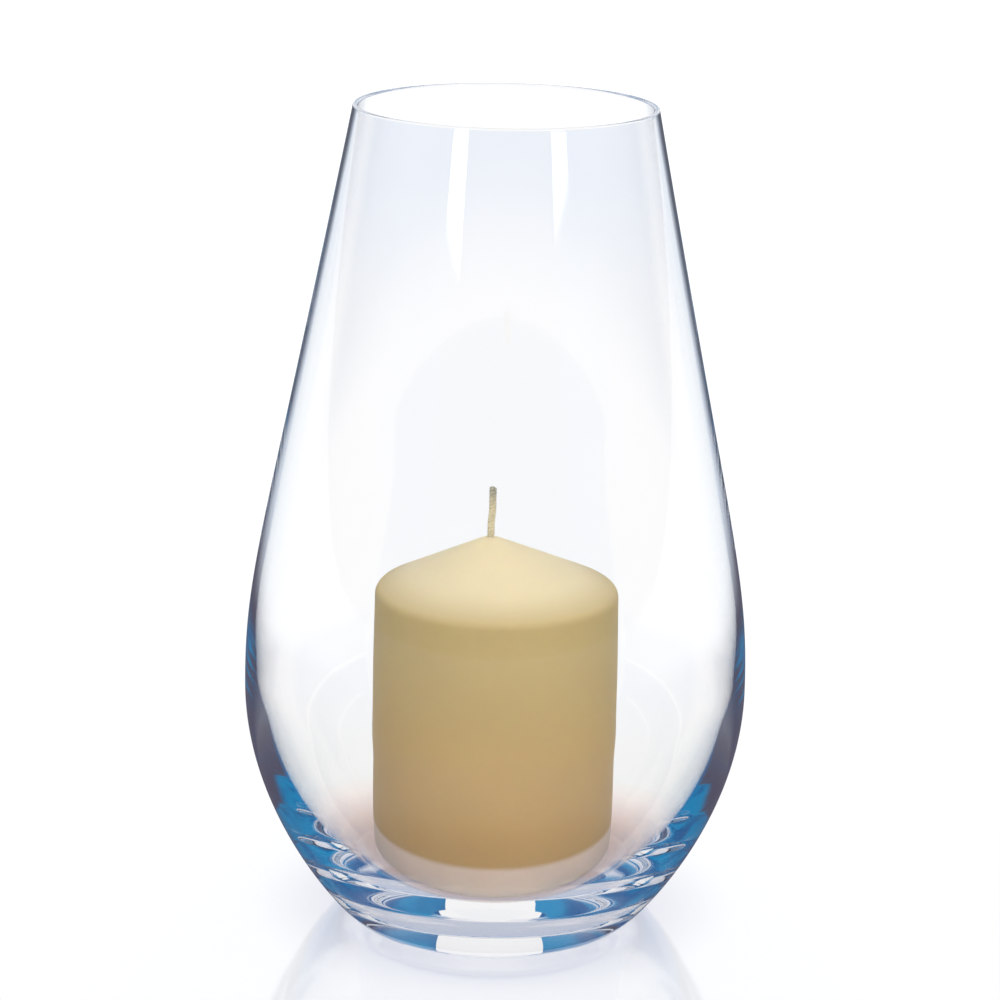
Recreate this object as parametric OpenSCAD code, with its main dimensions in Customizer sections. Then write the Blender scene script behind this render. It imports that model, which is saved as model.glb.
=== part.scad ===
// Hurricane candle lantern: a heavy-based blown glass with a pillar candle standing in it.
// The origin is at the centre of the foot, +Z is up, and all sizes are in millimetres.

/* [Glass, outside] */
// Height of the glass, foot to rim
glass_h = 263; // [220:1:320]
// Outside diameter of the mouth, at the rim
mouth_d = 94.8; // [90:0.2:110]
// Outside diameter of the belly, its widest ring
belly_d = 161.2; // [140:0.2:190]
// Height of the belly's widest ring
belly_z = 76; // [66:1:90]
// Diameter of the foot, where the glass stands
foot_d = 95.4; // [84:0.1:110]
// Lean of the wall below the rim, away from upright, in degrees
mouth_lean = 11.2; // [6:0.1:14]
// Length over which the wall keeps that lean
mouth_reach = 142; // [110:1:160]
// Length over which the wall stays upright above the belly
belly_reach_up = 36.5; // [20:0.5:50]
// Length over which the wall stays upright below the belly
belly_reach_down = 41.2; // [34:0.2:48]
// Rise of the wall away from the foot, above level, in degrees
foot_rise = 26.6; // [10:0.2:40]
// Length over which the wall keeps that rise
foot_reach = 3.2; // [2:0.2:12]
// Chamfer that is ground on the edge of the foot
foot_chamfer = 0.4; // [0.2:0.1:1]
// Depth of the shallow hollow that is ground under the foot
hollow_depth = 1.4; // [0.4:0.1:3]
// Width of the flat ring that is left around the hollow
foot_ring_w = 4; // [2:0.5:8]

/* [Glass, inside] */
// Wall at the rim, which is fire-polished to a half round
rim_wall = 1.7; // [1.4:0.1:3]
// Wall at the belly
belly_wall = 2.9; // [2.2:0.1:4]
// Height of the cavity's widest ring above the belly's
cavity_belly_rise = 8.2; // [0:0.1:12]
// Length over which the inside wall keeps the lean of the mouth
cavity_mouth_reach = 152; // [130:1:170]
// Length over which the inside wall stays upright above its belly
cavity_reach_up = 24; // [16:0.5:44]
// Length over which the inside wall stays upright below its belly
cavity_reach_down = 44; // [38:0.5:50]
// Thickness of the glass base in its middle
base_t = 10.8; // [9:0.1:13]
// Diameter of the level middle of the cavity's floor
floor_level_d = 74.4; // [66:0.2:76]
// Width over which the floor rises gently, outside its level middle
floor_reach = 9.2; // [6:0.2:16]

/* [Candle] */
// Diameter of the candle's foot, before its edge is rounded
candle_d = 81.4; // [60:0.2:86]
// Draft of the candle's side, in degrees
side_draft = 1; // [0:0.25:3]
// Height at which the side would meet the conical top, above the candle's foot
candle_side_h = 96.3; // [50:0.1:110]
// Slope of the conical top, in degrees
top_slope = 24.5; // [10:0.5:35]
// Rounding of the shoulder between side and top
shoulder_r = 3; // [2:0.5:8]
// Rounding of the candle's lower edge
heel_r = 4.2; // [2:0.1:6]
// Rounded diameter of the tip where the wick comes out
tip_d = 7; // [4:0.5:12]
// Thickness of the outer wax coat
coat_t = 1.6; // [0.8:0.1:3]
// Clearance between the candle's heel and the glass
seat_gap = 0.2; // [0.1:0.05:0.4]

/* [Wick] */
// Diameter of the braided wick
wick_d = 2.5; // [1.6:0.1:3.2]
// Length of wick above the candle's tip
wick_free_l = 16.4; // [8:0.2:25]
// Distance of the wick from the candle's axis
wick_offset = 2.2; // [0:0.1:3]
// Radius of the two bends of the wick's slight kink
kink_r = 20; // [12:1:40]
// Angle of each bend, in degrees
kink_angle = 8; // [2:1:14]
// Straight length of wick between the tip and the kink
kink_start = 4; // [2:0.5:7]
// Clearance around the wick in the wax
wick_gap = 0.1; // [0.05:0.05:0.2]

/* [Wick sustainer] */
// Diameter of the tinplate disc
disc_d = 19; // [14:0.5:24]
// Thickness of the tinplate
plate_t = 0.4; // [0.3:0.1:0.8]
// Height of the crimped collar above the disc
collar_h = 5; // [3:0.5:8]
// Clearance around the sustainer in its recess in the wax
sustainer_gap = 0.2; // [0.1:0.05:0.4]
// Distance of the disc above the candle's foot
disc_inset = 0.6; // [0.3:0.1:1.5]

/* [Hidden] */

$fn = 96;
curve_steps = 22;
arc_steps = 8;
cut = 1;

mouth_r = mouth_d / 2;
belly_r = belly_d / 2;
foot_r = foot_d / 2;
rim_r = rim_wall / 2;
rim_z = glass_h - rim_r;
lean = [sin(mouth_lean), -cos(mouth_lean)];
rise = [cos(foot_rise), sin(foot_rise)];
cavity_belly_r = belly_r - belly_wall;
cavity_belly_z = belly_z + cavity_belly_rise;
floor_level_r = floor_level_d / 2;
hollow_r = foot_r - foot_chamfer - foot_ring_w;

// A point of the curve that leaves a towards b and arrives at d from c
function curve_point(a, b, c, d, t) =
    pow(1 - t, 3) * a + 3 * pow(1 - t, 2) * t * b + 3 * (1 - t) * t * t * c + pow(t, 3) * d;
// The points of that curve, without its first one
function curve(a, b, c, d) =
    [for (i = [1 : curve_steps]) curve_point(a, b, c, d, i / curve_steps)];
// The points of an arc, without its first one
function arc(centre, r, from, to) =
    [for (i = [1 : arc_steps]) centre + r * [cos(from + (to - from) * i / arc_steps),
                                             sin(from + (to - from) * i / arc_steps)]];

// Outside of the glass, from the foot up to the rim
belly_point = [belly_r, belly_z];
foot_point = [foot_r, foot_chamfer];
rim_point = [mouth_r, rim_z];
outside = concat(
    [foot_point],
    curve(foot_point, foot_point + foot_reach * rise, belly_point - [0, belly_reach_down], belly_point),
    curve(belly_point, belly_point + [0, belly_reach_up], rim_point + mouth_reach * lean, rim_point)
);
// Inside of the glass, from the rim down to the middle of the floor
inner_rim_point = [mouth_r - rim_wall, rim_z];
cavity_belly_point = [cavity_belly_r, cavity_belly_z];
floor_edge = [floor_level_r, base_t];
bowl = curve(cavity_belly_point, cavity_belly_point - [0, cavity_reach_down],
             floor_edge + [floor_reach, 0], floor_edge);
inside = concat(
    curve(inner_rim_point, inner_rim_point + cavity_mouth_reach * lean,
          cavity_belly_point + [0, cavity_reach_up], cavity_belly_point),
    bowl,
    [[0, base_t]]
);
// Height of the cavity's floor at a distance from the axis
function floor_z(r) = r <= floor_level_r ? base_t : lookup(r, bowl);

// The point where two lines meet, each given by its normal and its distance from the origin
function meet(n, a, m, b) = [a * m[1] - b * n[1], b * n[0] - a * m[0]] / (n[0] * m[1] - n[1] * m[0]);

// The candle's side, top and foot as such lines, from the middle of its foot
candle_r = candle_d / 2;
side_normal = [cos(side_draft), sin(side_draft)];
top_normal = [sin(top_slope), cos(top_slope)];
foot_normal = [0, -1];
side_line = [candle_r, 0] * side_normal;
top_line = [candle_r - candle_side_h * tan(side_draft), candle_side_h] * top_normal;

// The candle stands where its rounded heel first meets the floor
heel = arc(meet(side_normal, side_line - heel_r, foot_normal, -heel_r), heel_r, -90, side_draft);
candle_z = seat_gap + max(base_t, max([for (p = heel) floor_z(p[0]) - p[1]]));
tip_r = tip_d / 2;
tip_z = (top_line - tip_r * top_normal[0]) / top_normal[1];
// The tip is a shallow dome that carries on the slope of the cone
tip_dome_r = tip_r / sin(top_slope);
tip_h = tip_dome_r * (1 - cos(top_slope));
candle_h = tip_z + tip_h;

wick_hole_r = wick_d / 2 + wick_gap;
disc_recess_r = disc_d / 2 + sustainer_gap;
disc_recess_h = disc_inset + plate_t + sustainer_gap;
collar_r = wick_d / 2 + plate_t + wick_gap;
collar_recess_r = collar_r + sustainer_gap;
collar_recess_h = disc_inset + plate_t + collar_h + sustainer_gap;
kink_h = 2 * kink_r * sin(kink_angle);
kink_shift = 2 * kink_r * (1 - cos(kink_angle));

module at_wick() {
    translate([-wick_offset, 0, candle_z]) children();
}

// Outline of the candle, shrunk by inset on its side, top and foot
module candle_outline(inset) {
    heel_inset_r = max(heel_r - inset, 0.2);
    heel_at = meet(side_normal, side_line - inset - heel_inset_r, foot_normal, -inset - heel_inset_r);
    shoulder_inset_r = max(shoulder_r - inset, 0.2);
    shoulder_at = meet(side_normal, side_line - inset - shoulder_inset_r,
                       top_normal, top_line - inset - shoulder_inset_r);
    dome_at = [0, candle_h - inset / cos(top_slope) - tip_dome_r];
    polygon(concat(
        [[0, inset], [heel_at[0], inset]],
        arc(heel_at, heel_inset_r, -90, side_draft),
        [shoulder_at + shoulder_inset_r * side_normal],
        arc(shoulder_at, shoulder_inset_r, side_draft, 90 - top_slope),
        [dome_at + tip_dome_r * top_normal],
        arc(dome_at, tip_dome_r, 90 - top_slope, 90)
    ));
}

module candle_body(inset) {
    translate([0, 0, candle_z]) rotate_extrude() candle_outline(inset);
}

module glass_hurricane() {
    hollow_slope = [for (i = [1 : arc_steps]) let (u = i / arc_steps)
        [hollow_r * (1 - u), hollow_depth * (1 - pow(1 - u, 2))]];
    color([0.86, 0.92, 0.98, 0.35]) rotate_extrude() polygon(concat(
        outside,
        arc([mouth_r - rim_r, rim_z], rim_r, 0, 180),
        inside,
        [for (i = [arc_steps - 1 : -1 : 0]) hollow_slope[i]],
        [[hollow_r, 0], [foot_r - foot_chamfer, 0]]
    ));
}

module candle_coat() {
    color([0.84, 0.76, 0.56]) difference() {
        candle_body(0);
        candle_body(coat_t);
        at_wick() cylinder(r = wick_hole_r, h = candle_h + cut);
        at_wick() translate([0, 0, -cut]) cylinder(r = disc_recess_r, h = coat_t + 2 * cut);
    }
}

module candle_core() {
    color([0.93, 0.89, 0.78]) difference() {
        candle_body(coat_t);
        at_wick() cylinder(r = wick_hole_r, h = candle_h + cut);
        at_wick() cylinder(r = disc_recess_r, h = disc_recess_h);
        at_wick() cylinder(r = collar_recess_r, h = collar_recess_h);
    }
}

// One bend of the wick, from the origin upwards, turning towards +X
module wick_bend() {
    translate([kink_r, 0, 0]) rotate([90, 0, 180]) rotate_extrude(angle = kink_angle)
        translate([kink_r, 0]) circle(d = wick_d, $fn = 32);
}

module wick() {
    below_kink = candle_h - disc_inset + kink_start;
    above_kink = wick_free_l - kink_start - kink_h;
    color([0.86, 0.82, 0.66]) at_wick() translate([0, 0, disc_inset]) {
        cylinder(d = wick_d, h = below_kink);
        translate([0, 0, below_kink]) {
            wick_bend();
            translate([kink_shift, 0, kink_h]) rotate([0, 180, 0]) wick_bend();
            translate([kink_shift, 0, kink_h]) cylinder(d = wick_d, h = above_kink);
        }
    }
}

module wick_sustainer() {
    color([0.75, 0.75, 0.72]) at_wick() translate([0, 0, disc_inset]) difference() {
        union() {
            cylinder(d = disc_d, h = plate_t);
            cylinder(r = collar_r, h = plate_t + collar_h);
        }
        translate([0, 0, -cut]) cylinder(r = wick_hole_r, h = plate_t + collar_h + 2 * cut);
    }
}

glass_hurricane();
candle_coat();
candle_core();
wick();
wick_sustainer();
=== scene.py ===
"""Hurricane candle lantern: the finish of its glass, candle and wick, and a pale studio round it."""

import math

import bmesh
import bpy
from bpy.props import FloatProperty, FloatVectorProperty, IntProperty, PointerProperty
from bpy.types import Operator, Panel, PropertyGroup
from mathutils import Euler, Matrix, Vector


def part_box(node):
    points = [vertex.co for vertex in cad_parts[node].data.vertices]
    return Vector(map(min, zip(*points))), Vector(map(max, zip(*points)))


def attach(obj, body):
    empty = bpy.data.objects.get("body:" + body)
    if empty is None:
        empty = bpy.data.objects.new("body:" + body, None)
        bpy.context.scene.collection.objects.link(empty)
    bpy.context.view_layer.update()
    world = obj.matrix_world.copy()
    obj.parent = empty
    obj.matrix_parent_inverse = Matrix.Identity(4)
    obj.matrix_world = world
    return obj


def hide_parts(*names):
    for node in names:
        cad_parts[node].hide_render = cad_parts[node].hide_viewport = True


bl_info = {
    "name": "Hurricane candle lantern",
    "version": (1, 0, 0),
    "blender": (4, 5, 0),
    "location": "View3D > Sidebar > Lantern",
    "description": "Dresses a hurricane candle lantern and sets it in a pale studio",
    "category": "Object",
}

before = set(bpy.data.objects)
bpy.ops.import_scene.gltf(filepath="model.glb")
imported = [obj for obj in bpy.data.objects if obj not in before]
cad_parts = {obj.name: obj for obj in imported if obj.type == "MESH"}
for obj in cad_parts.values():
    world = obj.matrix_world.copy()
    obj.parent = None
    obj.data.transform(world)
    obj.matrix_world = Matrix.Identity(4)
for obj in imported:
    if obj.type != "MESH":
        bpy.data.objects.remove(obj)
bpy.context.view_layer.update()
MM = 0.001
ON_AXIS = 0.001 * MM
BLACK, WHITE = (0.0, 0.0, 0.0), (1.0, 1.0, 1.0)


def node_size(node, axis):
    """Length of a node's box along an axis, 0 to 2."""
    low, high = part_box(node)
    return high[axis] - low[axis]


def lowest(node):
    """Height of a node's lowest point."""
    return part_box(node)[0][2]


# ---------------------------------------------------------------- settings


def length(label, about, default):
    """A length in metres that a user may change."""
    return FloatProperty(
        name=label,
        description=about,
        default=default,
        min=0.0,
        subtype="DISTANCE",
        unit="LENGTH",
        precision=4,
    )


def angle(label, about, degrees):
    """An angle that a user may change."""
    return FloatProperty(
        name=label, description=about, default=math.radians(degrees), subtype="ANGLE", unit="ROTATION"
    )


def share(label, about, default, most=1.0):
    """A plain number from nothing to its most."""
    return FloatProperty(name=label, description=about, default=default, min=0.0, max=most, subtype="FACTOR")


def colour(label, about, default):
    """A linear colour."""
    return FloatVectorProperty(
        name=label, description=about, default=default, size=3, min=0.0, max=1.0, subtype="COLOR"
    )


class GlassSizes(PropertyGroup):
    """Outline of the blown glass."""

    height: length("Height", "Height from foot to rim", node_size("glass_hurricane", 2))
    belly_diameter: length("Belly", "Outside diameter of the belly", -2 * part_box("glass_hurricane")[0][0])
    mouth_diameter: length("Mouth", "Outside diameter of the mouth", 94.8 * MM)
    foot_diameter: length("Foot", "Diameter of the ground foot", 95.4 * MM)
    belly_height: length("Belly height", "Height of the belly's widest ring", 76 * MM)
    mouth_lean: angle("Mouth lean", "Lean of the wall below the rim", 11.2)
    mouth_reach: length("Mouth reach", "Length over which the wall keeps that lean", 142 * MM)
    belly_reach_up: length("Reach up", "Upright length above the belly", 36.5 * MM)
    belly_reach_down: length("Reach down", "Upright length below the belly", 41.2 * MM)
    foot_rise: angle("Foot rise", "Rise of the wall away from the foot", 26.6)
    foot_reach: length("Foot reach", "Length over which the wall keeps that rise", 3.2 * MM)
    foot_chamfer: length("Foot chamfer", "Chamfer ground on the foot", 0.4 * MM)
    hollow_depth: length("Hollow", "Depth of the hollow ground under the foot", 1.4 * MM)
    foot_ring: length("Foot ring", "Width of the flat ring of the foot", 4 * MM)
    rim_wall: length("Rim wall", "Wall at the fire-polished rim", 1.7 * MM)
    belly_wall: length("Belly wall", "Wall at the belly", 2.9 * MM)
    cavity_rise: length("Cavity rise", "Height of the cavity's belly above the outer one", 8.2 * MM)
    cavity_mouth_reach: length("Cavity mouth reach", "Length over which the inside keeps the lean", 152 * MM)
    cavity_reach_up: length("Cavity reach up", "Upright length above the cavity's belly", 24 * MM)
    cavity_reach_down: length("Cavity reach down", "Upright length below the cavity's belly", 44 * MM)
    floor_height: length("Floor height", "Height of the level floor", 10.8 * MM)
    floor_diameter: length("Floor", "Diameter of the level floor", 74.4 * MM)
    floor_reach: length("Floor reach", "Width over which the floor starts to rise", 9.2 * MM)
    facets: IntProperty(name="Facets", description="Facets round the glass", default=256, min=32)


class CandleSizes(PropertyGroup):
    """Outline of the pillar candle and its wick."""

    diameter: length("Diameter", "Diameter of the candle's foot, before its edge is rounded", 81.4 * MM)
    draft: angle("Draft", "Draft of the candle's side", 1.0)
    foot_height: length("Foot height", "Height of the candle's foot", lowest("candle_coat"))
    height: length("Height", "Height of the candle, foot to tip", node_size("candle_coat", 2))
    shoulder: length("Shoulder", "Rounding of the shoulder", 3 * MM)
    heel: length("Heel", "Rounding of the lower edge", 4.2 * MM)
    tip_diameter: length("Tip", "Rounded diameter of the tip", 7 * MM)
    top_slope: angle("Top slope", "Slope of the conical top", 24.5)
    wick_offset: length("Wick offset", "Distance of the wick from the axis, to the left", 2.2 * MM)
    wick_diameter: length("Wick", "Width of the braid", 2.5 * MM)
    wick_free: length("Free wick", "Wick above the candle", 16.4 * MM)
    kink: length("Kink", "Sideways shift of the wick's slight kink", 0.39 * MM)
    kink_start: length("Kink start", "Straight wick between the tip and the kink", 4 * MM)
    kink_length: length("Kink length", "Length of wick that the kink takes", 5.6 * MM)
    braid_turn: length("Braid", "Length of wick in which a strand goes once round", 3.4 * MM)


class Finishes(PropertyGroup):
    """Colours of the finishes."""

    side_wax: colour("Side wax", "Dipped wax of the candle's side, below its shoulder", (0.59, 0.447, 0.18))
    low_wax: colour("Low wax", "Dipped wax of the candle's side, near its foot", (0.62, 0.395, 0.145))
    # painted light: the foot is paler and pinker, as if the pale floor lit it from below
    floorlit_foot_wax: colour("Foot wax", "Bloomed wax near the candle's foot", (0.86, 0.68, 0.53))
    # painted light: the top is paler wax, as light from above falls on it
    lit_top_wax: colour("Top wax", "Paler wax of the top", (0.86, 0.74, 0.47))
    core_wax: colour("Core wax", "Pressed wax inside", (0.83, 0.77, 0.60))
    cotton: colour("Cotton", "Wick cotton", (0.72, 0.64, 0.42))
    cotton_tip: colour("Cotton tip", "Trimmed end of the wick", (0.40, 0.38, 0.28))
    tinplate: colour("Tinplate", "Wick sustainer", (0.62, 0.62, 0.60))
    glass_tint: colour("Glass tint", "Faint tint of the glass", (0.990, 0.991, 0.994))
    # painted reflection: a pale glow of the wax that stands in for the candle's mirror image
    painted_mirror_glow: colour("Mirrored wax", "Light that hides the candle's mirror image", (0.76, 0.79, 0.88))
    # painted glow: blue that the candle's underside gives off in place of its shade
    painted_blue_glow: colour("Deep wax", "Blue of the candle's foot as the glass base shows it", (0.03, 0.18, 0.42))


class StudioSettings(PropertyGroup):
    """Camera, floor and light."""

    distance: length("Distance", "Camera's distance in plan", 1.0)
    camera_height: length("Camera height", "Height of the camera", 413.8 * MM)
    pitch: angle("Pitch", "Angle of the camera below level", 15.492)
    roll: angle("Roll", "Lean of the camera", 1.15)
    lens: FloatProperty(name="Lens", description="Focal length in millimetres", default=117.35, min=10)
    aside: length("Aside", "Place of the camera along X", 0.45 * MM)
    floor_radius: length("Floor radius", "Radius of the pale floor", 6.0)
    floor_colour: colour("Floor", "Colour of the floor", (0.10, 0.10, 0.097))
    floor_glow: colour("Floor glow", "Light that comes through the floor", (0.655, 0.665, 0.69))
    # painted shadow: a dimmer, lilac glow of the floor close to the foot
    painted_foot_shadow: colour("Foot glow", "Light that comes through the floor close to the foot", (0.54, 0.55, 0.61))
    far_floor: colour("Far floor", "Distant floor seen through the glass", (0.93, 0.955, 1.0))
    # painted reflection: blues that the floor shows only through the glass base, beside it and at its foot
    painted_base_blue: colour("Base blue", "Floor that the glass base shows beside it", (0.02, 0.17, 0.42))
    painted_foot_blue: colour("Foot blue", "Floor that the glass base shows at its foot", (0.05, 0.11, 0.21))
    round_light: share("Light all round", "Even light on dull surfaces", 0.08, 4.0)
    top_light: share("Light from above", "Strength of the light overhead", 1.75, 8.0)
    front_light: share("Light from before", "Strength of the light before the set", 4.05, 8.0)
    back_light: share("Light from behind", "Strength of the light behind the set", 1.5, 8.0)
    light_tone: colour("Light tone", "Colour of the soft light", (1.0, 0.99, 0.97))
    front_turn: angle("Front turn", "Direction of the light before the set, to its right", 10)
    strip_left: angle("Left strip", "Direction of the left strip light, from the back of the set", 147)
    strip_right: angle("Right strip", "Direction of the right strip light, from the back of the set", 140.7)
    strip_half: angle("Strip half width", "Half width of each strip light", 5.8)
    strip_strength: share("Strip strength", "Strength that the strip lights add", 6.0, 20.0)
    panel_half: angle("Panel half width", "Half width of the white panel behind the set", 13.6)
    panel_blue: colour("Blue panel", "Blue panels beside the white one", (0.0, 0.10, 0.31))
    panel_pale_blue: colour("Pale blue panel", "Streaks in the blue panels", (0.0, 0.25, 0.52))
    panel_white: colour("White panel", "White panel behind the set", (0.98, 0.98, 0.98))
    # also the darkest painted reflection that the floor shows in the glass's edges
    dark_surround_and_painted_edges: colour("Dark surround", "Dark surround that edges of the glass show", (0.075, 0.07, 0.11))
    panel_top: colour("Upper surround", "Pale surround above the panels", (0.80, 0.81, 0.88))


# ---------------------------------------------------------------- shapes


def curve(start, leave, arrive, end, steps):
    """Points of the curve that leaves start towards leave and reaches end from arrive, without start."""
    points = []
    for i in range(1, steps + 1):
        t = i / steps
        u = 1 - t
        points.append(
            tuple(
                u**3 * a + 3 * u * u * t * b + 3 * u * t * t * c + t**3 * d
                for a, b, c, d in zip(start, leave, arrive, end)
            )
        )
    return points


def straight(start, end, steps):
    """Points of a straight line, without its first one."""
    return [tuple(a + (b - a) * i / steps for a, b in zip(start, end)) for i in range(1, steps + 1)]


def arc(centre, radius, first, last, steps):
    """Points of an arc between two angles in radians, without its first one."""
    turns = [first + (last - first) * i / steps for i in range(1, steps + 1)]
    return [(centre[0] + radius * math.cos(a), centre[1] + radius * math.sin(a)) for a in turns]


def lathe(name, outline, segments, bend=None):
    """A closed smooth piece turned round Z from (radius, height) points; bend moves each point."""
    mesh = bmesh.new()
    turns = [math.tau * k / segments for k in range(segments)]
    rings = []
    for radius, height in outline:
        if radius < ON_AXIS:
            places = [Vector((0, 0, height))]
        else:
            places = [Vector((radius * math.cos(turn), radius * math.sin(turn), height)) for turn in turns]
        rings.append([mesh.verts.new(bend(p) if bend else p) for p in places])
    closed = len(rings[0]) > 1
    pairs = list(zip(rings, rings[1:]))
    if closed:
        pairs.append((rings[-1], rings[0]))
    for low, high in pairs:
        for k in range(segments):
            n = (k + 1) % segments
            if len(low) == 1:
                mesh.faces.new((low[0], high[n], high[k]))
            elif len(high) == 1:
                mesh.faces.new((low[k], low[n], high[0]))
            else:
                mesh.faces.new((low[k], low[n], high[n], high[k]))
    bmesh.ops.recalc_face_normals(mesh, faces=mesh.faces)
    return shown(name, mesh)


def shown(name, mesh):
    """Puts a finished bmesh in the scene as a smooth object."""
    data = bpy.data.meshes.new(name)
    mesh.to_mesh(data)
    mesh.free()
    for face in data.polygons:
        face.use_smooth = True
    piece = bpy.data.objects.new(name, data)
    bpy.context.scene.collection.objects.link(piece)
    return piece


def tube(mesh, path, radius, sides):
    """Adds a round strand along a path of points, closed at both ends."""
    rings = []
    for i, here in enumerate(path):
        along = (path[min(i + 1, len(path) - 1)] - path[max(i - 1, 0)]).normalized()
        across = along.cross(Vector((0, 1, 0))).normalized()
        other = along.cross(across)
        turns = [math.tau * k / sides for k in range(sides)]
        spokes = [radius * math.cos(turn) * across + radius * math.sin(turn) * other for turn in turns]
        rings.append([mesh.verts.new(here + spoke) for spoke in spokes])
    for low, high in zip(rings, rings[1:]):
        for k in range(sides):
            n = (k + 1) % sides
            mesh.faces.new((low[k], low[n], high[n], high[k]))
    mesh.faces.new(rings[0][::-1])
    mesh.faces.new(rings[-1])


# ---------------------------------------------------------------- finishes


def group_sockets(group, inputs, outputs):
    """Names the sockets of a node group."""
    for name, kind, value in inputs:
        group.interface.new_socket(name=name, in_out="INPUT", socket_type=kind).default_value = value
    for name, kind in outputs:
        group.interface.new_socket(name=name, in_out="OUTPUT", socket_type=kind)


def add(tree, kind, **settings):
    """Adds a node; settings name its own attributes."""
    node = tree.nodes.new(kind)
    for name, value in settings.items():
        setattr(node, name, value)
    return node


def maths(tree, operation, first, second=None, third=None):
    """A Math node on sockets or numbers; gives its output."""
    node = add(tree, "ShaderNodeMath", operation=operation)
    for i, value in enumerate((first, second, third)):
        if value is None:
            continue
        if isinstance(value, (int, float)):
            node.inputs[i].default_value = value
        else:
            tree.links.new(value, node.inputs[i])
    return node.outputs[0]


def smooth(tree, value, start, end):
    """0 to 1 as a value goes from start to end, whichever is the larger; gives its output."""
    node = add(tree, "ShaderNodeMapRange", interpolation_type="SMOOTHSTEP")
    tree.links.new(value, node.inputs["Value"])
    limits = {"From Min": min(start, end), "From Max": max(start, end)}
    limits |= {"To Min": 0 if start < end else 1, "To Max": 1 if start < end else 0}
    for name, limit in limits.items():
        node.inputs[name].default_value = limit
    return node.outputs["Result"]


def blended(tree, mask, low, high):
    """A colour between two colours or sockets by a mask; gives its output."""
    node = add(tree, "ShaderNodeMix", data_type="RGBA")
    tree.links.new(mask, node.inputs["Factor"])
    for name, value in (("A", low), ("B", high)):
        if isinstance(value, bpy.types.NodeSocket):
            tree.links.new(value, node.inputs[name])
        else:
            node.inputs[name].default_value = (*value, 1)
    return node.outputs["Result"]


def ramped(tree, value, stops):
    """A colour that follows a value through (place, colour) stops; gives its output."""
    node = add(tree, "ShaderNodeValToRGB")
    marks = node.color_ramp.elements
    while len(marks) < len(stops):
        marks.new(0.5)
    for mark, (place, tone) in zip(marks, stops):
        mark.position = place
        mark.color = (*tone, 1)
    tree.links.new(value, node.inputs["Fac"])
    return node.outputs["Color"]


def both(tree, first, *others):
    """The product of masks."""
    for other in others:
        first = maths(tree, "MULTIPLY", first, other)
    return first


def either(tree, first, *others):
    """The largest of masks."""
    for other in others:
        first = maths(tree, "MAXIMUM", first, other)
    return first


def met(tree, rays, kind, times=1):
    """1 where a ray has met Diffuse, Glossy or Transmission surfaces this often or more."""
    return maths(tree, "GREATER_THAN", rays.outputs[f"{kind} Depth"], times - 0.5)


def spared(tree, rays, kind, times=1):
    """1 where a ray has met such surfaces less often than this."""
    return maths(tree, "LESS_THAN", rays.outputs[f"{kind} Depth"], times - 0.5)


def mottle_group():
    """Soft cloudy mottling with a fine speckle, for wax, cotton and metal."""
    if "Mottle" in bpy.data.node_groups:
        return bpy.data.node_groups["Mottle"]
    group = bpy.data.node_groups.new("Mottle", "ShaderNodeTree")
    group_sockets(
        group,
        [
            ("Light", "NodeSocketColor", (0.8, 0.8, 0.8, 1)),
            ("Dark", "NodeSocketColor", (0.7, 0.7, 0.7, 1)),
            ("Cloud Scale", "NodeSocketFloat", 40.0),
            ("Speckle Scale", "NodeSocketFloat", 900.0),
            ("Speckle", "NodeSocketFloat", 0.3),
        ],
        [("Color", "NodeSocketColor"), ("Mask", "NodeSocketFloat"), ("Height", "NodeSocketFloat")],
    )
    link = group.links.new
    given, put = add(group, "NodeGroupInput"), add(group, "NodeGroupOutput")
    place = add(group, "ShaderNodeTexCoord")
    cloud = add(group, "ShaderNodeTexNoise")
    cloud.inputs["Detail"].default_value = 4
    speckle = add(group, "ShaderNodeTexNoise")
    speckle.inputs["Detail"].default_value = 2
    link(place.outputs["Object"], cloud.inputs["Vector"])
    link(place.outputs["Object"], speckle.inputs["Vector"])
    link(given.outputs["Cloud Scale"], cloud.inputs["Scale"])
    link(given.outputs["Speckle Scale"], speckle.inputs["Scale"])
    grain = add(group, "ShaderNodeMix")
    link(given.outputs["Speckle"], grain.inputs["Factor"])
    link(cloud.outputs["Fac"], grain.inputs["A"])
    link(speckle.outputs["Fac"], grain.inputs["B"])
    spread = add(group, "ShaderNodeMapRange")
    spread.inputs["From Min"].default_value, spread.inputs["From Max"].default_value = 0.3, 0.7
    link(grain.outputs["Result"], spread.inputs["Value"])
    tone = add(group, "ShaderNodeMix", data_type="RGBA")
    link(spread.outputs["Result"], tone.inputs["Factor"])
    link(given.outputs["Dark"], tone.inputs["A"])
    link(given.outputs["Light"], tone.inputs["B"])
    link(tone.outputs["Result"], put.inputs["Color"])
    link(spread.outputs["Result"], put.inputs["Mask"])
    link(grain.outputs["Result"], put.inputs["Height"])
    return group


def height_group():
    """A mask that goes from 0 to 1 between two heights."""
    if "Height mask" in bpy.data.node_groups:
        return bpy.data.node_groups["Height mask"]
    group = bpy.data.node_groups.new("Height mask", "ShaderNodeTree")
    group_sockets(
        group,
        [("From", "NodeSocketFloat", 0.0), ("To", "NodeSocketFloat", 0.1)],
        [("Mask", "NodeSocketFloat")],
    )
    link = group.links.new
    given, put = add(group, "NodeGroupInput"), add(group, "NodeGroupOutput")
    place, split = add(group, "ShaderNodeTexCoord"), add(group, "ShaderNodeSeparateXYZ")
    ramp = add(group, "ShaderNodeMapRange", interpolation_type="SMOOTHSTEP")
    link(place.outputs["Object"], split.inputs[0])
    link(split.outputs["Z"], ramp.inputs["Value"])
    link(given.outputs["From"], ramp.inputs["From Min"])
    link(given.outputs["To"], ramp.inputs["From Max"])
    link(ramp.outputs["Result"], put.inputs["Mask"])
    return group


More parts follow.
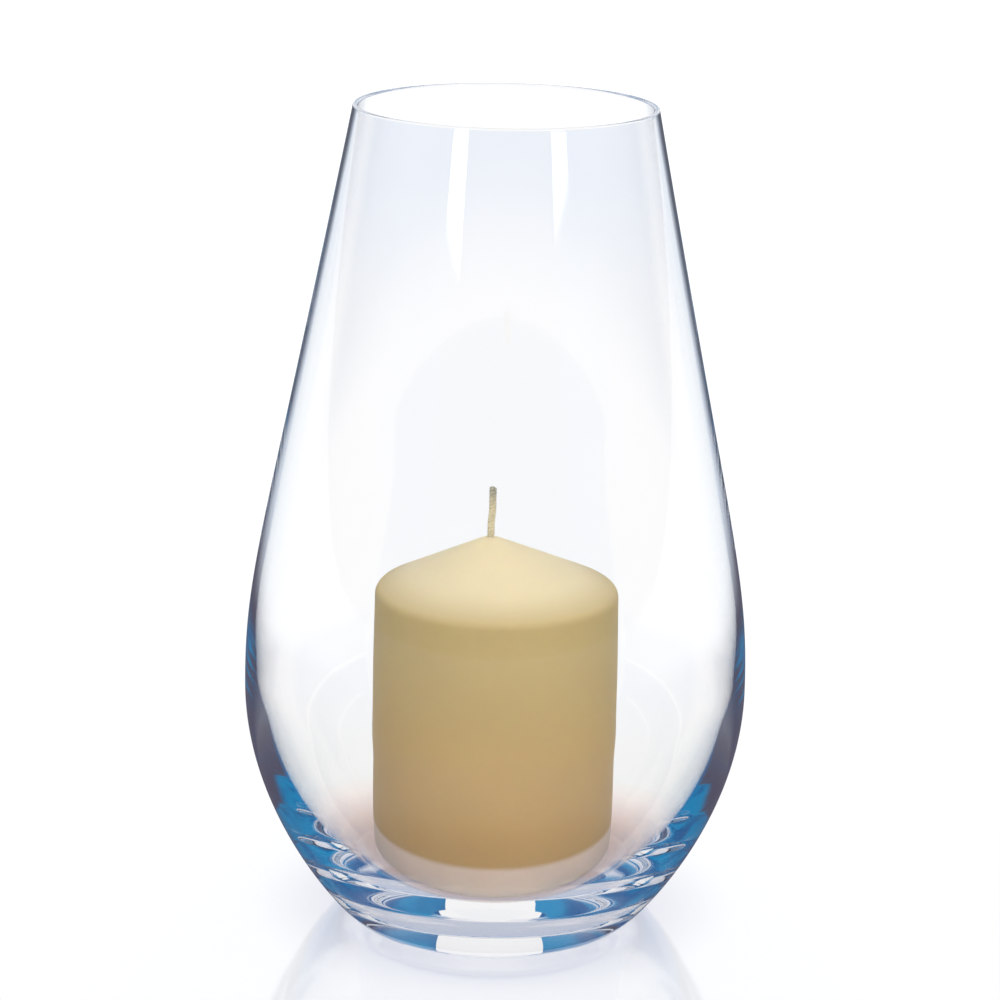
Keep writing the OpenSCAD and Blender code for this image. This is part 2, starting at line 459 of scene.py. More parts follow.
def material(name):
    """A new material with a Principled shader: (material, tree, shader)."""
    made = bpy.data.materials.new(name)
    made.use_nodes = True
    return made, made.node_tree, made.node_tree.nodes["Principled BSDF"]


def risen(tree, start, end):
    """Places the Height mask group between two heights; gives its output."""
    node = add(tree, "ShaderNodeGroup", node_tree=height_group())
    node.inputs["From"].default_value = start
    node.inputs["To"].default_value = end
    return node.outputs["Mask"]


def mottled(tree, light, dark, cloud, speckle_scale, speckle):
    """Places the Mottle group with this material's own values."""
    node = add(tree, "ShaderNodeGroup", node_tree=mottle_group())
    node.inputs["Light"].default_value = (*light, 1)
    node.inputs["Dark"].default_value = (*dark, 1)
    node.inputs["Cloud Scale"].default_value = cloud
    node.inputs["Speckle Scale"].default_value = speckle_scale
    node.inputs["Speckle"].default_value = speckle
    return node


def bumped(tree, shader, height, distance, strength=1.0):
    """Feeds a height through a bump to the shader's normal."""
    bump = add(tree, "ShaderNodeBump")
    bump.inputs["Distance"].default_value = distance
    bump.inputs["Strength"].default_value = strength
    tree.links.new(height, bump.inputs["Height"])
    tree.links.new(bump.outputs["Normal"], shader.inputs["Normal"])


def roughened(tree, shader, mask, low, high):
    """Varies the shader's roughness with a mask."""
    spread = add(tree, "ShaderNodeMapRange")
    spread.inputs["To Min"].default_value, spread.inputs["To Max"].default_value = low, high
    tree.links.new(mask, spread.inputs["Value"])
    tree.links.new(spread.outputs["Result"], shader.inputs["Roughness"])


def shade(tone, factor):
    """A colour made darker or lighter by a factor."""
    return tuple(min(1.0, c * factor) for c in tone)


def clear_glass(tint):
    """Clear blown glass with the faint waviness that blowing leaves."""
    made, tree, shader = material("clear blown glass")
    shader.inputs["Base Color"].default_value = (*tint, 1)
    shader.inputs["Roughness"].default_value = 0.0
    shader.inputs["IOR"].default_value = 1.5
    shader.inputs["Transmission Weight"].default_value = 1.0
    waves = mottled(tree, tint, tint, 14, 60, 0.15)
    bumped(tree, shader, waves.outputs["Height"], 0.08 * MM, 0.5)
    return made


# Heights between which the wax changes its tone: the cone's from the shoulder, the others from the foot; the
# paler cone is painted light from above
CONE_FADE = (-3 * MM, 6.5 * MM)
# the band of painted floor light at the foot
FLOORLIT_FADE = (12.5 * MM, 15 * MM)
# where the painted blue glow of the underside begins
BLUE_UNDERSIDE_FADE = (1.2 * MM, 0.2 * MM)
# Heights between which the cotton darkens, from the wick's end
TRIM_FADE = (-6 * MM, -0.5 * MM)


def dipped_wax(sizes, tones):
    """Satin wax of the dipped candle: ochre side, a cone painted paler for the light from above, a foot
    painted paler for light from the floor, a painted pale glow in mirror images, a painted blue glow on the
    underside, slight cloudiness.
    """
    made, tree, shader = material("dipped ivory wax")
    side = mottled(tree, shade(tones.side_wax, 1.03), shade(tones.side_wax, 0.95), 34, 700, 0.25)
    low = mottled(tree, shade(tones.low_wax, 1.03), shade(tones.low_wax, 0.95), 34, 700, 0.25)
    top = mottled(tree, shade(tones.lit_top_wax, 1.02), shade(tones.lit_top_wax, 0.97), 60, 900, 0.3)
    floorlit = mottled(tree, shade(tones.floorlit_foot_wax, 1.03), shade(tones.floorlit_foot_wax, 0.95), 60, 700, 0.25)
    foot, shoulder = sizes.foot_height, shoulder_height(sizes)
    above_floorlit = foot + FLOORLIT_FADE[1]
    tone = blended(tree, risen(tree, above_floorlit, shoulder), low.outputs["Color"], side.outputs["Color"])
    # painted light: near its foot the wax turns paler and pinker, as if lit from the pale floor below
    tone = blended(tree, risen(tree, foot + FLOORLIT_FADE[0], above_floorlit), floorlit.outputs["Color"], tone)
    # painted light: the cone is paler, as light from above falls on it
    cone_painted_lit = risen(tree, shoulder + CONE_FADE[0], shoulder + CONE_FADE[1])
    tone = blended(tree, cone_painted_lit, tone, top.outputs["Color"])
    # painted reflection: mirrored by the glass or the floor, the candle turns black and glows a pale painted
    # light instead of showing its image
    rays = add(tree, "ShaderNodeLightPath")
    clear = spared(tree, rays, "Diffuse")
    mirror_glow_mask = both(tree, met(tree, rays, "Glossy"), clear)
    # painted blue glow: its underside, and what the glass shows of it after many turns, turn black and glow
    # with the blue of the glass base
    blue_glow_rays = both(tree, either(tree, met(tree, rays, "Glossy", 2), met(tree, rays, "Transmission", 3)), clear)
    blue = either(tree, blue_glow_rays, risen(tree, foot + BLUE_UNDERSIDE_FADE[0], foot + BLUE_UNDERSIDE_FADE[1]))
    painted_glow_mask = either(tree, mirror_glow_mask, blue)
    painted_glow = blended(tree, blue, tones.painted_mirror_glow, tones.painted_blue_glow)
    tree.links.new(blended(tree, painted_glow_mask, tone, BLACK), shader.inputs["Base Color"])
    tree.links.new(blended(tree, painted_glow_mask, BLACK, painted_glow), shader.inputs["Emission Color"])
    shader.inputs["Emission Strength"].default_value = 1.0
    roughened(tree, shader, side.outputs["Mask"], 0.42, 0.52)
    shader.inputs["IOR"].default_value = 1.44
    shader.inputs["Specular IOR Level"].default_value = 0.12
    shader.inputs["Subsurface Weight"].default_value = 0.35
    shader.inputs["Subsurface Radius"].default_value = (1.0, 0.6, 0.25)
    shader.inputs["Subsurface Scale"].default_value = 4 * MM
    bumped(tree, shader, side.outputs["Height"], 0.12 * MM, 0.5)
    return made


def pressed_wax(tones):
    """Granular pressed wax of the core."""
    made, tree, shader = material("pressed core wax")
    grain = mottled(tree, shade(tones.core_wax, 1.05), shade(tones.core_wax, 0.85), 120, 1100, 0.6)
    tree.links.new(grain.outputs["Color"], shader.inputs["Base Color"])
    roughened(tree, shader, grain.outputs["Mask"], 0.55, 0.7)
    bumped(tree, shader, grain.outputs["Height"], 0.3 * MM, 0.6)
    return made


def braided_cotton(sizes, tones):
    """Wax-primed cotton, darker at its trimmed end."""
    made, tree, shader = material("braided cotton")
    fibre = mottled(tree, shade(tones.cotton, 1.1), shade(tones.cotton, 0.72), 300, 2600, 0.5)
    trimmed = mottled(tree, shade(tones.cotton_tip, 1.1), shade(tones.cotton_tip, 0.7), 500, 2600, 0.4)
    top = sizes.foot_height + sizes.height + sizes.wick_free
    at_end = risen(tree, top + TRIM_FADE[0], top + TRIM_FADE[1])
    tone = blended(tree, at_end, fibre.outputs["Color"], trimmed.outputs["Color"])
    tree.links.new(tone, shader.inputs["Base Color"])
    roughened(tree, shader, fibre.outputs["Mask"], 0.6, 0.85)
    shader.inputs["Sheen Weight"].default_value = 0.25
    bumped(tree, shader, fibre.outputs["Height"], 0.1 * MM, 0.8)
    return made


def bright_tinplate(tones):
    """Rolled tinplate of the wick sustainer."""
    made, tree, shader = material("bright tinplate")
    rolled = mottled(tree, shade(tones.tinplate, 1.1), shade(tones.tinplate, 0.8), 90, 1500, 0.5)
    tree.links.new(rolled.outputs["Color"], shader.inputs["Base Color"])
    roughened(tree, shader, rolled.outputs["Mask"], 0.22, 0.4)
    shader.inputs["Metallic"].default_value = 1.0
    bumped(tree, shader, rolled.outputs["Height"], 0.03 * MM, 0.5)
    return made


# ---------------------------------------------------------------- pieces


def stepped(point, direction, distance):
    """The point at a distance from another one, along a direction."""
    return (point[0] + distance * direction[0], point[1] + distance * direction[1])


# Rings of points along each stretch of the glass's outline
WALL_RINGS, BOWL_RINGS, RIM_RINGS, FLOOR_RINGS, HOLLOW_RINGS = 64, 72, 14, 14, 16
# Distance from the rim of the ring that keeps the wall's shading straight up to it
RIM_GUARD = 0.3 * MM


def glass_outline(g):
    """Outline of the glass: from under its foot, up outside and down inside to the middle of its base."""
    upright = (0, 1)
    down_wall = (math.sin(g.mouth_lean), -math.cos(g.mouth_lean))
    up_foot = (math.cos(g.foot_rise), math.sin(g.foot_rise))
    rim = g.rim_wall / 2
    foot = (g.foot_diameter / 2, g.foot_chamfer)
    belly = (g.belly_diameter / 2, g.belly_height)
    mouth = (g.mouth_diameter / 2, g.height - rim)
    inner_mouth = (mouth[0] - g.rim_wall, mouth[1])
    cavity = (belly[0] - g.belly_wall, belly[1] + g.cavity_rise)
    floor = (g.floor_diameter / 2, g.floor_height)
    ring = foot[0] - g.foot_chamfer
    hollow = ring - g.foot_ring
    outline = []
    for i in range(HOLLOW_RINGS + 1):
        out = i / HOLLOW_RINGS
        outline.append((hollow * out, g.hollow_depth * (1 - out * out)))
    outline += [(ring, 0), foot]
    outline += curve(
        foot,
        stepped(foot, up_foot, g.foot_reach),
        stepped(belly, upright, -g.belly_reach_down),
        belly,
        BOWL_RINGS,
    )
    outline += curve(
        belly,
        stepped(belly, upright, g.belly_reach_up),
        stepped(mouth, down_wall, g.mouth_reach),
        mouth,
        WALL_RINGS,
    )
    outline.insert(-1, stepped(mouth, down_wall, RIM_GUARD))
    outline += arc((mouth[0] - rim, mouth[1]), rim, 0, math.pi, RIM_RINGS)
    outline.append(stepped(inner_mouth, down_wall, RIM_GUARD))
    outline += curve(
        inner_mouth,
        stepped(inner_mouth, down_wall, g.cavity_mouth_reach),
        stepped(cavity, upright, g.cavity_reach_up),
        cavity,
        WALL_RINGS,
    )
    outline += curve(
        cavity,
        stepped(cavity, upright, -g.cavity_reach_down),
        (floor[0] + g.floor_reach, floor[1]),
        floor,
        BOWL_RINGS,
    )
    outline += [(floor[0] * i / FLOOR_RINGS, floor[1]) for i in range(FLOOR_RINGS - 1, -1, -1)]
    return outline


class LANTERN_OT_glass(Operator):
    """Blow the clear glass, in place of its plain solid"""

    bl_idname = "lantern.glass"
    bl_label = "Glass"

    def execute(self, context):
        sizes = context.scene.lantern_glass
        glass = lathe("glass_vase", glass_outline(sizes), sizes.facets)
        glass.data.materials.append(clear_glass(context.scene.lantern_finish.glass_tint))
        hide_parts("glass_hurricane")
        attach(glass, "glass")
        return {"FINISHED"}


def towards_wick(sizes):
    """Moves the cone's points sideways, so that its tip stands where the wick does."""
    top = sizes.foot_height + sizes.height
    fall = top - shoulder_height(sizes)

    def moved(place):
        up = min(1.0, max(0.0, (place.z - top + fall) / fall))
        return place - Vector((sizes.wick_offset * up, 0, 0))

    return moved


def meet(one, a, other, b):
    """The point where two lines meet, each given by its normal and its distance from the origin."""
    turn = one[0] * other[1] - one[1] * other[0]
    return ((a * other[1] - b * one[1]) / turn, (b * one[0] - a * other[0]) / turn)


def candle_lines(sizes):
    """The candle's side and conical top as lines, from the middle of its foot: (normal, distance) pairs."""
    side = (math.cos(sizes.draft), math.sin(sizes.draft))
    top = (math.sin(sizes.top_slope), math.cos(sizes.top_slope))
    tip = sizes.tip_diameter / 2
    dome = tip / top[0]
    tip_height = sizes.height - dome * (1 - top[1])
    return (side, sizes.diameter / 2 * side[0]), (top, tip * top[0] + tip_height * top[1])


def shoulder_height(sizes):
    """Height at which the candle's side would meet its conical top."""
    (side, a), (top, b) = candle_lines(sizes)
    return sizes.foot_height + meet(side, a, top, b)[1]


# Facets round the candle, and rings of points along each stretch of its outline
CANDLE_FACETS = 160
UNDERSIDE_RINGS, HEEL_RINGS, SIDE_RINGS, SHOULDER_RINGS, CONE_RINGS, TIP_RINGS = 6, 12, 24, 14, 16, 8


def candle_outline(c):
    """Outline of the candle, from the middle of its underside round to its tip."""
    (side, side_line), (top, top_line) = candle_lines(c)
    turn = math.pi / 2 - c.top_slope
    heel = meet(side, side_line - c.heel, (0, -1), -c.heel)
    shoulder = meet(side, side_line - c.shoulder, top, top_line - c.shoulder)
    dome_radius = c.tip_diameter / 2 / top[0]
    dome = (0, c.height - dome_radius)
    outline = [(0, 0)] + straight((0, 0), (heel[0], 0), UNDERSIDE_RINGS)
    outline += arc(heel, c.heel, -math.pi / 2, c.draft, HEEL_RINGS)
    outline += straight(outline[-1], stepped(shoulder, side, c.shoulder), SIDE_RINGS)
    outline += arc(shoulder, c.shoulder, c.draft, turn, SHOULDER_RINGS)
    outline += straight(outline[-1], stepped(dome, top, dome_radius), CONE_RINGS)
    outline += arc(dome, dome_radius, turn, math.pi / 2, TIP_RINGS)[:-1]
    outline.append((0, c.height))
    return [(radius, c.foot_height + height) for radius, height in outline]


class LANTERN_OT_candle(Operator):
    """Cast the pillar candle round its pressed core, and finish the parts inside it"""

    bl_idname = "lantern.candle"
    bl_label = "Candle"

    def execute(self, context):
        sizes = context.scene.lantern_candle
        tones = context.scene.lantern_finish
        candle = lathe("pillar_candle", candle_outline(sizes), CANDLE_FACETS, towards_wick(sizes))
        candle.data.materials.append(dipped_wax(sizes, tones))
        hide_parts("candle_coat")
        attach(candle, "candle")
        for node, finish in (("candle_core", pressed_wax(tones)), ("wick_sustainer", bright_tinplate(tones))):
            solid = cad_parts[node]
            solid.data.materials.clear()
            solid.data.materials.append(finish)
        return {"FINISHED"}


# The braid's strands: radius as a share of the wick's width, flatness of the braid, depth of its weave
STRANDS, STRAND_SHARE, FLATNESS, WEAVE = 3, 0.22, 0.55, 0.25
# Room that the strands leave inside the cord's outline: round it, at its lower end and, in radii, at its top
STRAND_GAP, LOWER_END, UPPER_END = 0.02 * MM, 0.6 * MM, 0.6
# Spacing of a strand's rings, and facets round it
STRAND_STEP, STRAND_FACETS = 0.22 * MM, 10


class LANTERN_OT_wick(Operator):
    """Braid the cotton wick from three strands, in place of its plain cord"""

    bl_idname = "lantern.wick"
    bl_label = "Wick"

    def execute(self, context):
        c = context.scene.lantern_candle
        low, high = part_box("wick")
        tip = c.foot_height + c.height
        strand = c.wick_diameter * STRAND_SHARE
        swing = c.wick_diameter / 2 - strand - STRAND_GAP
        first, last = low[2] + LOWER_END, high[2] - strand * UPPER_END
        steps = int((last - first) / STRAND_STEP)
        mesh = bmesh.new()
        for k in range(STRANDS):
            path = []
            for i in range(steps + 1):
                z = first + (last - first) * i / steps
                turn = math.tau * (z - tip) / c.braid_turn + math.tau * k / STRANDS
                up = min(1.0, max(0.0, (z - tip - c.kink_start) / c.kink_length))
                x = c.kink * up * up * (3 - 2 * up) - c.wick_offset + swing * math.sin(turn)
                y = swing * FLATNESS * math.sin(2 * turn)
                path.append(Vector((x, y, z + WEAVE * strand * math.cos(turn))))
            tube(mesh, path, strand, STRAND_FACETS)
        bmesh.ops.recalc_face_normals(mesh, faces=mesh.faces)
        wick = shown("braided_wick", mesh)
        wick.data.materials.append(braided_cotton(c, context.scene.lantern_finish))
        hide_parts("wick")
        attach(wick, "candle")
        return {"FINISHED"}


# ---------------------------------------------------------------- studio


# Distances from the middle of the foot between which the floor changes, each as (start, end), in metres
# where the painted shadow round the foot fades out
FOOT_SHADOW_FADE = (0.05, 0.082)
BASE_EDGE_FADE = (0.047, 0.056)
BASE_TWICE_FADE = (0.046, 0.054)
FOOT_BLUE_FADE = (0.065, 0.05)
BASE_BLUE_FADE = (0.22, 0.14)
CLOSE_FADE = (0.75, 0.4)
BESIDE_FADE = (0.35, 0.12)
AROUND_FADE = (0.16, 0.10)
SIDEWAYS_FADE = (0.2, 0.35)
DISTANT_FADE = (0.8, 1.5)
# Distance from the middle of the foot past which outer reflections show the floor dark
FOOT_RADIUS = 0.049
# Turns from straight behind the set between which the floor changes, each as (start, end), in degrees
BEHIND_TURN = (78, 40)
BEHIND_OUTER_TURN = (78, 50)
BEFORE_TURN = (100, 125)
BESIDE_TURN = (126, 97.4)
SIDEWAYS_TURN = (40.1, 57.3)
# Painted reflection: tones that the floor shows in the edges of the glass, at shares of this turn from
# straight behind, in degrees
EDGE_SWEEP = 100
PAINTED_EDGE_TONES = [
    (0.23, (0.09, 0.10, 0.135)),
    (0.265, (0.35, 0.39, 0.47)),
    (0.31, (0.63, 0.69, 0.79)),
    (0.42, (0.72, 0.80, 0.89)),
    (0.70, (0.84, 0.90, 0.96)),
]
# Painted light and shade: tones that the floor shows through the hollow of the glass, at shares of this
# distance from the foot, in metres
PAINTED_WARM_SWEEP = 0.2
PAINTED_WARM_TONES = [
    (0.24, (0.55, 0.39, 0.31)),
    (0.31, (0.84, 0.67, 0.58)),
    (0.38, (1.0, 0.90, 0.82)),
    (0.44, (1.0, 0.985, 0.925)),
    (0.95, (1.0, 1.0, 1.0)),
]
PAINTED_WARM_STRENGTH = 1.04
# Share of the dark floor in outer reflections
OUTER_SHARE = 0.95
# Share of the floor's glow that dull surfaces lose
DULL_LOSS = 0.5


def strayed(tree, rays):
    """1 where a ray met more than two walls of the glass, or was mirrored on its way."""
    return either(tree, met(tree, rays, "Transmission", 5), met(tree, rays, "Glossy"))


def edge_light(tree, rays, upward=None):
    """1 where a ray was mirrored within one wall, or left the glass upwards by another way than straight."""
    thin = spared(tree, rays, "Transmission", 4)
    bent = both(tree, thin, met(tree, rays, "Glossy"))
    if upward is not None:
        raised = both(tree, spared(tree, rays, "Transmission", 11), maths(tree, "GREATER_THAN", upward, 0.01))
        bent = either(tree, bent, both(tree, raised, either(tree, thin, strayed(tree, rays))))
    return both(tree, met(tree, rays, "Transmission"), spared(tree, rays, "Diffuse"), bent)


def outer_mirror(tree, rays):
    """1 where a ray was mirrored by an outer surface and met nothing dull on its way."""
    return both(
        tree, met(tree, rays, "Glossy"), spared(tree, rays, "Transmission"), spared(tree, rays, "Diffuse")
    )


def facing(tree, turn, limits):
    """A mask over a turn in radians, between two limits in degrees."""
    return smooth(tree, turn, math.radians(limits[0]), math.radians(limits[1]))


def glow(tree, tone, strength=1.0):
    """An even light of a colour; gives its output."""
    node = add(tree, "ShaderNodeEmission")
    tree.links.new(tone, node.inputs["Color"])
    node.inputs["Strength"].default_value = strength
    return node.outputs["Emission"]


def chosen(tree, mask, low, high):
    """A mix of two shaders by a mask; gives its output."""
    node = add(tree, "ShaderNodeMixShader")
    for socket, value in zip(node.inputs, (mask, low, high)):
        tree.links.new(value, socket)
    return node.outputs["Shader"]


def studio_floor(s):
    """White laminate that keeps the shadow and a faint reflection of what stands on it, with a painted shadow
    round the foot and painted light, shade and reflections that show only through the glass.
    """
    made, tree, shader = material("white laminate")
    grain = mottled(tree, shade(s.floor_colour, 1.004), shade(s.floor_colour, 0.996), 9, 400, 0.4)
    tree.links.new(grain.outputs["Color"], shader.inputs["Base Color"])
    roughened(tree, shader, grain.outputs["Mask"], 0.06, 0.09)
    shader.inputs["IOR"].default_value = 2.4
    rays = add(tree, "ShaderNodeLightPath")
    place, spot = add(tree, "ShaderNodeTexCoord"), add(tree, "ShaderNodeSeparateXYZ")
    reach = add(tree, "ShaderNodeVectorMath", operation="LENGTH")
    tree.links.new(place.outputs["Object"], spot.inputs[0])
    tree.links.new(place.outputs["Object"], reach.inputs[0])
    far = reach.outputs["Value"]
    turn = maths(tree, "ABSOLUTE", maths(tree, "ARCTAN2", spot.outputs["X"], spot.outputs["Y"]))
    # painted shadow: the floor's glow is dimmer and lilac close to the foot; dull surfaces get less of the
    # floor's glow than the camera and the glass
    shadowed_glow = blended(tree, smooth(tree, far, *FOOT_SHADOW_FADE), s.painted_foot_shadow, s.floor_glow)
    tree.links.new(shadowed_glow, shader.inputs["Emission Color"])
    strength = maths(tree, "MULTIPLY_ADD", met(tree, rays, "Diffuse"), -DULL_LOSS, 1.0)
    tree.links.new(strength, shader.inputs["Emission Strength"])
    # painted light and shade: seen through the hollow of the glass, the floor glows warm with the candle's
    # colour close to the foot, darkest right by it
    warm = ramped(tree, maths(tree, "DIVIDE", far, PAINTED_WARM_SWEEP), PAINTED_WARM_TONES)
    warm = blended(tree, smooth(tree, far, *DISTANT_FADE), warm, s.far_floor)
    # painted reflection: rays that strayed sideways through the glass base see the floor blue
    sideways = both(
        tree, facing(tree, turn, SIDEWAYS_TURN), smooth(tree, far, *SIDEWAYS_FADE), strayed(tree, rays)
    )
    warm = glow(tree, blended(tree, sideways, warm, s.painted_base_blue), PAINTED_WARM_STRENGTH)
    through = both(tree, met(tree, rays, "Transmission", 3), spared(tree, rays, "Diffuse"))
    pale = chosen(tree, through, shader.outputs["BSDF"], warm)
    # painted reflection: the edges of the glass mirror a floor that glows dark and blue only for them, all
    # round close by, and in a narrow field far behind
    close = smooth(tree, far, *CLOSE_FADE)
    field = either(tree, close, facing(tree, turn, BEHIND_TURN), facing(tree, turn, BEFORE_TURN))
    twice = both(tree, met(tree, rays, "Glossy", 2), smooth(tree, far, *BASE_TWICE_FADE))
    edge = both(tree, edge_light(tree, rays), either(tree, smooth(tree, far, *BASE_EDGE_FADE), twice))
    beside = both(tree, smooth(tree, far, *BESIDE_FADE), facing(tree, turn, BESIDE_TURN))
    around = either(tree, beside, smooth(tree, far, *AROUND_FADE), facing(tree, turn, BEHIND_OUTER_TURN))
    outside = maths(tree, "GREATER_THAN", far, FOOT_RADIUS)
    outer = both(tree, maths(tree, "MULTIPLY", outer_mirror(tree, rays), OUTER_SHARE), outside, around)
    tones = PAINTED_EDGE_TONES + [(1.0, s.dark_surround_and_painted_edges)]
    tone = ramped(tree, maths(tree, "DIVIDE", turn, math.radians(EDGE_SWEEP)), tones)
    blue = blended(tree, smooth(tree, far, *FOOT_BLUE_FADE), s.painted_base_blue, s.painted_foot_blue)
    inner = both(tree, met(tree, rays, "Transmission"), smooth(tree, far, *BASE_BLUE_FADE))
    dark = blended(tree, close, tone, blended(tree, inner, s.dark_surround_and_painted_edges, blue))
    floor = chosen(tree, both(tree, either(tree, edge, outer), field), pale, glow(tree, dark))
    tree.links.new(floor, tree.nodes["Material Output"].inputs["Surface"])
    return made


# Heights in the surround, as the upward part of a direction: where the strips start to the left and right,
# how far their ends fade, where they stop, and where the panels start and the pale top begins
STRIP_LOWS = (0.186, 0.189)
STRIP_FADE = (-0.004, 0.008)
STRIP_TOP = 0.7
PANEL_LOW_FADE = (0.02, 0.16)
PANEL_TOP_FADE = (0.5, 0.72)
# Turns from straight behind the set between which the panels give way to the dark room before it, in degrees
ROOM_TURN = (138, 148)
# Size and detail of the streaks in the blue panels, and the share of them that goes from plain to pale
STREAK_SCALE, STREAK_DETAIL = 2.2, 3
STREAK_FADE = (0.42, 0.62)
# How fast the lights from before and from above fall off with their direction
FRONT_FALL, TOP_FALL = 3.0, 2.0


def strip_light(tree, turn, z, centre, half, low):
    """1 inside an upright strip of the surround, round a direction and from a lowest height."""
    strip = maths(tree, "LESS_THAN", maths(tree, "ABSOLUTE", maths(tree, "SUBTRACT", turn, centre)), half)
    above = smooth(tree, z, low + STRIP_FADE[0], low + STRIP_FADE[1])
    return both(tree, strip, above, maths(tree, "LESS_THAN", z, STRIP_TOP))


def streaked(tree, place, low, high):
    """Two colours in soft streaks over the surround."""
    streak = add(tree, "ShaderNodeTexNoise")
    streak.inputs["Scale"].default_value = STREAK_SCALE
    streak.inputs["Detail"].default_value = STREAK_DETAIL
    tree.links.new(place, streak.inputs["Vector"])
    return blended(tree, smooth(tree, streak.outputs["Fac"], *STREAK_FADE), low, high)


def soft_light(tree, s, x, y, z):
    """Strength of the light from above, from before and behind the set and from all round."""
    front = maths(tree, "MULTIPLY", x, math.sin(s.front_turn))
    front = maths(tree, "MULTIPLY_ADD", y, -math.cos(s.front_turn), front)
    front = maths(tree, "POWER", maths(tree, "MAXIMUM", front, 0.0), FRONT_FALL)
    above = maths(tree, "POWER", maths(tree, "MAXIMUM", z, 0.0), TOP_FALL)
    soft = maths(tree, "MULTIPLY_ADD", above, s.top_light, s.round_light)
    soft = maths(tree, "MULTIPLY_ADD", front, s.front_light, soft)
    return maths(tree, "MULTIPLY_ADD", maths(tree, "MAXIMUM", y, 0.0), s.back_light, soft)


def studio_world(s):
    """White surround, with panels that only glass shows, and a soft light for dull surfaces."""
    world = bpy.data.worlds.new("studio")
    world.use_nodes = True
    tree = world.node_tree
    tree.nodes.clear()
    rays = add(tree, "ShaderNodeLightPath")
    place, split = add(tree, "ShaderNodeTexCoord"), add(tree, "ShaderNodeSeparateXYZ")
    tree.links.new(place.outputs["Generated"], split.inputs[0])
    x, y, z = split.outputs
    turn = maths(tree, "ARCTAN2", x, y)
    aside = maths(tree, "ABSOLUTE", turn)
    # a white panel stands behind the set, blue ones at its sides, and the room before it is dark
    blue = streaked(tree, place.outputs["Generated"], s.panel_blue, s.panel_pale_blue)
    raised = either(tree, met(tree, rays, "Transmission", 3), smooth(tree, z, *PANEL_LOW_FADE))
    walls = blended(tree, raised, s.dark_surround_and_painted_edges, blue)
    walls = blended(tree, facing(tree, aside, ROOM_TURN), walls, s.dark_surround_and_painted_edges)
    walls = blended(tree, smooth(tree, z, *PANEL_TOP_FADE), walls, s.panel_top)
    panels = blended(tree, maths(tree, "LESS_THAN", aside, s.panel_half), walls, s.panel_white)
    # two tall strip lights before the set, which only outer reflections show
    left = strip_light(tree, turn, z, -s.strip_left, s.strip_half, STRIP_LOWS[0])
    right = strip_light(tree, turn, z, s.strip_right, s.strip_half, STRIP_LOWS[1])
    strips = both(tree, either(tree, left, right), outer_mirror(tree, rays), spared(tree, rays, "Glossy", 2))
    shown_sky, dull_sky = add(tree, "ShaderNodeBackground"), add(tree, "ShaderNodeBackground")
    tree.links.new(blended(tree, edge_light(tree, rays, z), WHITE, panels), shown_sky.inputs["Color"])
    strength = maths(tree, "MULTIPLY_ADD", strips, s.strip_strength, 1.0)
    tree.links.new(strength, shown_sky.inputs["Strength"])
    dull_sky.inputs["Color"].default_value = (*s.light_tone, 1)
    tree.links.new(soft_light(tree, s, x, y, z), dull_sky.inputs["Strength"])
    sky = chosen(tree, met(tree, rays, "Diffuse"), shown_sky.outputs[0], dull_sky.outputs[0])
    out = add(tree, "ShaderNodeOutputWorld")
    tree.links.new(sky, out.inputs["Surface"])
    return world


# Room between the foot and the floor, facets round the floor, and how far the camera sees, in metres
FLOOR_GAP, FLOOR_FACETS, VIEW_REACH = 0.1 * MM, 96, 60
# How often a ray may be mirrored or bent in the thick base of the glass
RAY_BOUNCES = 256


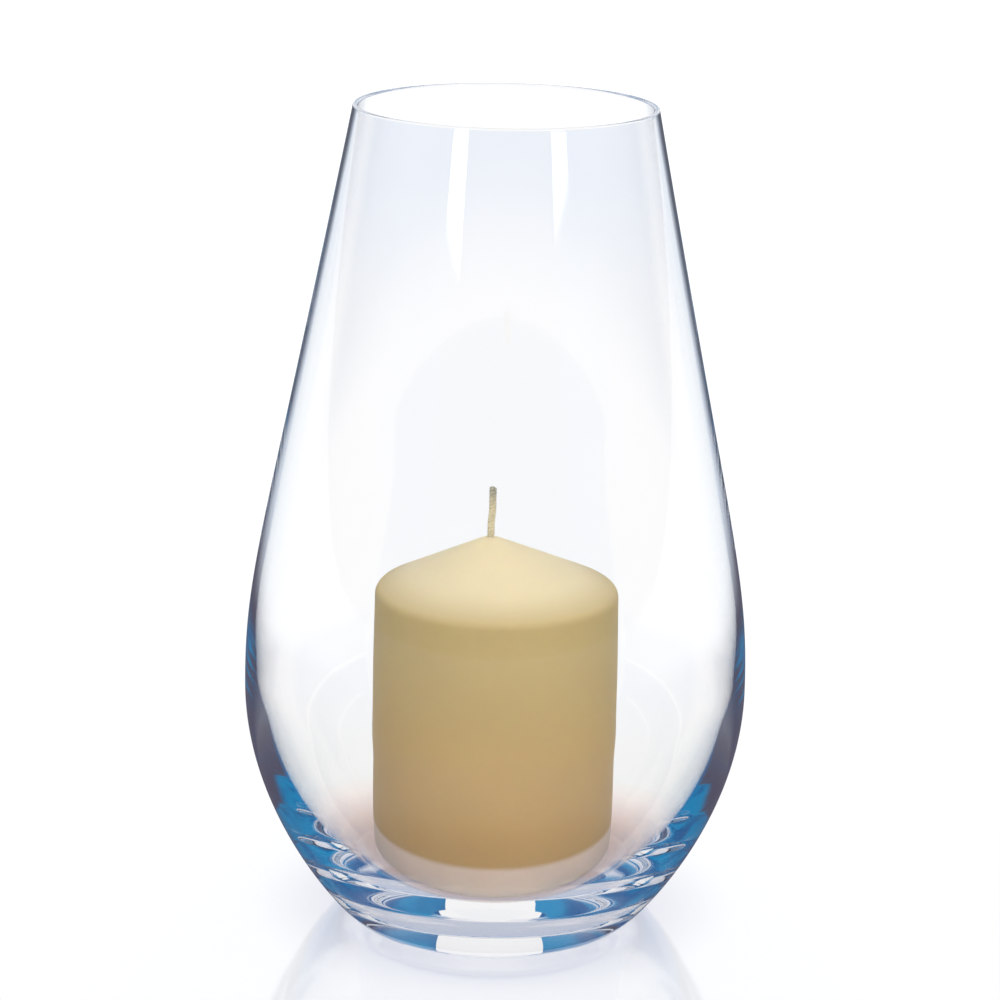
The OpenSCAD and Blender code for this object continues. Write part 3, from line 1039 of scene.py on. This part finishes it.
class LANTERN_OT_stage(Operator):
    """Lay the pale floor, light it softly and place the camera"""

    bl_idname = "lantern.stage"
    bl_label = "Studio"

    def execute(self, context):
        s = context.scene.lantern_studio
        mesh = bmesh.new()
        bmesh.ops.create_circle(mesh, cap_ends=True, radius=s.floor_radius, segments=FLOOR_FACETS)
        floor = shown("studio_floor", mesh)
        floor.location.z = -FLOOR_GAP
        floor.data.materials.append(studio_floor(s))
        context.scene.world = studio_world(s)
        lens = bpy.data.cameras.new("camera")
        lens.lens = s.lens
        lens.clip_end = VIEW_REACH
        camera = bpy.data.objects.new("camera", lens)
        context.scene.collection.objects.link(camera)
        camera.location = (s.aside, -s.distance, s.camera_height)
        tilt = Euler((math.pi / 2 - s.pitch, 0, 0)).to_matrix()
        camera.rotation_euler = (tilt @ Matrix.Rotation(s.roll, 3, "Z")).to_euler()
        context.scene.camera = camera
        context.scene.view_settings.view_transform = "Standard"
        cycles = context.scene.cycles
        cycles.max_bounces = cycles.transmission_bounces = cycles.glossy_bounces = RAY_BOUNCES
        return {"FINISHED"}


class LANTERN_PT_sidebar(Panel):
    """Lists the pieces of the lantern and their settings"""

    bl_label = "Hurricane lantern"
    bl_idname = "LANTERN_PT_sidebar"
    bl_space_type = "VIEW_3D"
    bl_region_type = "UI"
    bl_category = "Lantern"

    def draw(self, context):
        for step in STEPS:
            self.layout.operator(step.bl_idname)
        for name, kind in SETTINGS.items():
            box = self.layout.box()
            box.label(text=kind.__doc__)
            for field in kind.__annotations__:
                box.prop(getattr(context.scene, name), field)


STEPS = (LANTERN_OT_stage, LANTERN_OT_glass, LANTERN_OT_candle, LANTERN_OT_wick)
SETTINGS = {
    "lantern_glass": GlassSizes,
    "lantern_candle": CandleSizes,
    "lantern_finish": Finishes,
    "lantern_studio": StudioSettings,
}


def register():
    for kind in (*SETTINGS.values(), *STEPS, LANTERN_PT_sidebar):
        bpy.utils.register_class(kind)
    for name, kind in SETTINGS.items():
        setattr(bpy.types.Scene, name, PointerProperty(type=kind))


def unregister():
    for name in SETTINGS:
        delattr(bpy.types.Scene, name)
    for kind in reversed((*SETTINGS.values(), *STEPS, LANTERN_PT_sidebar)):
        bpy.utils.unregister_class(kind)


def main():
    """Makes the whole set."""
    register()
    bpy.ops.lantern.stage()
    bpy.ops.lantern.glass()
    bpy.ops.lantern.candle()
    bpy.ops.lantern.wick()


if __name__ == "__main__":
    main()
